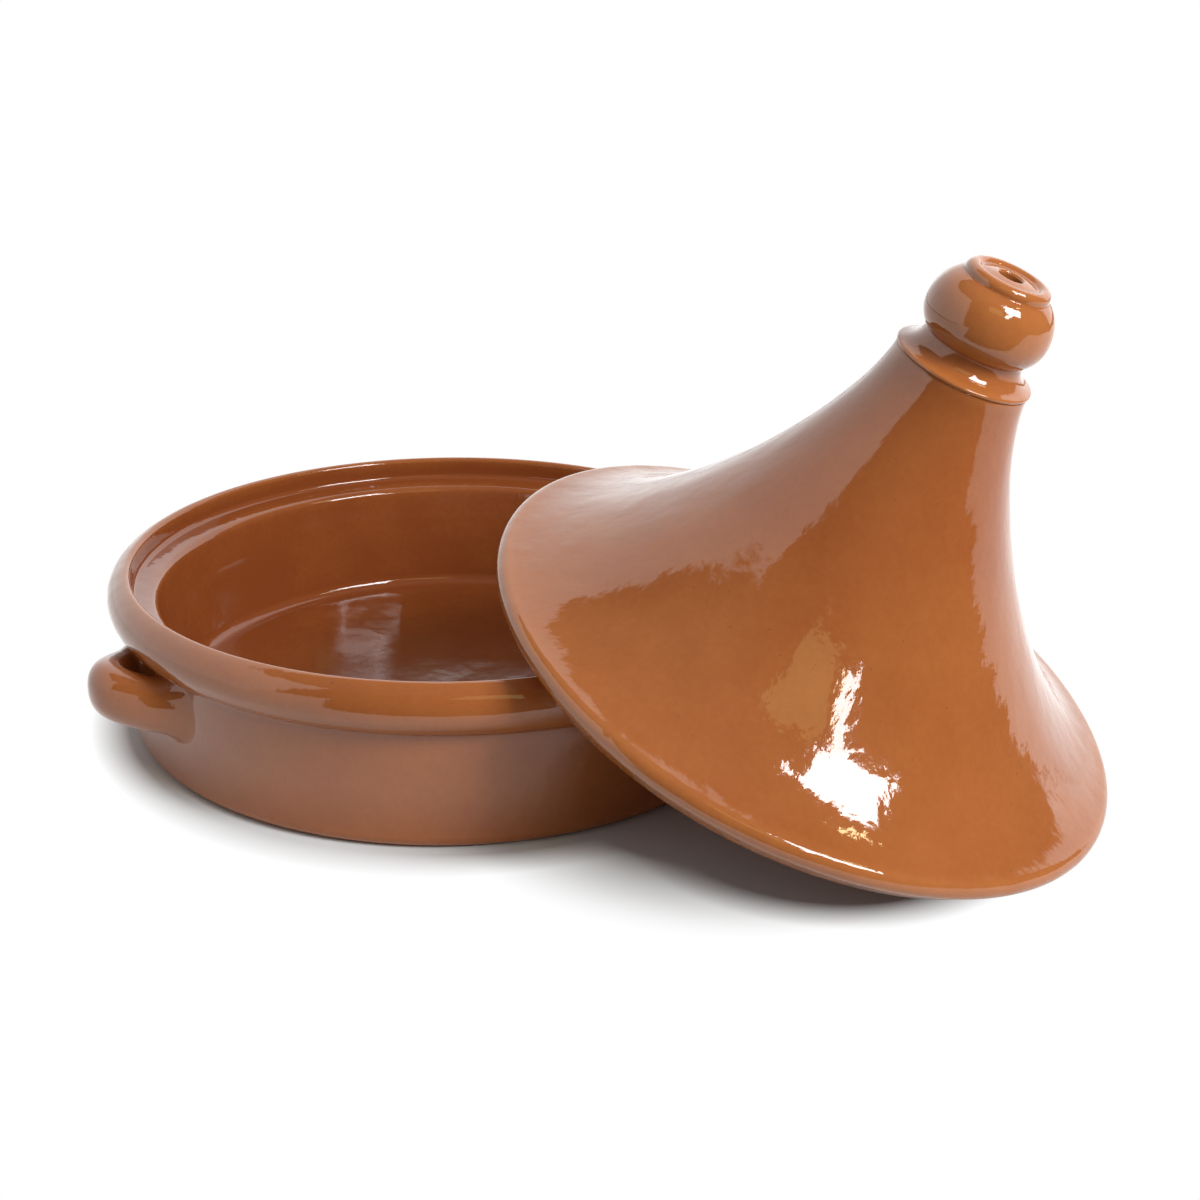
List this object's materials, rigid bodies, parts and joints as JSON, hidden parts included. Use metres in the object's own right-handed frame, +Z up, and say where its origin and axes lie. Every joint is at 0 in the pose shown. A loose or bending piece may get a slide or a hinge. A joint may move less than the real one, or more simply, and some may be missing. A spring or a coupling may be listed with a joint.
{
  "type": "tagine",
  "caption": "Round shallow earthenware cooking dish with loop handles and a tall flared conical lid that leans on its rim, for slow cooking with steam vented at the knob.",
  "frame": {"origin": "centre of the flat underside of the dish, on the surface that it stands on", "axes": "+Z up along the axis of the dish, +X through the middle of the right handle and -X through the left one; the lid leans on the -Y side, between -Y and +X"},
  "size_m": [0.3522, 0.3976, 0.2086],
  "materials": {
    "dish_glaze": "gloss",
    "lid_glaze": "gloss"
  },
  "bodies": {
    "dish": {"dish": "dish_glaze", "handle_right": "dish_glaze", "handle_left": "dish_glaze"},
    "lid": {"lid": "lid_glaze", "knob": "lid_glaze"}
  },
  "joints": [
    {"name": "lid_lift", "type": "slide", "parent": "dish", "child": "lid", "axis": [0, 0, 1], "range_m": [0, 0.2]}
  ]
}
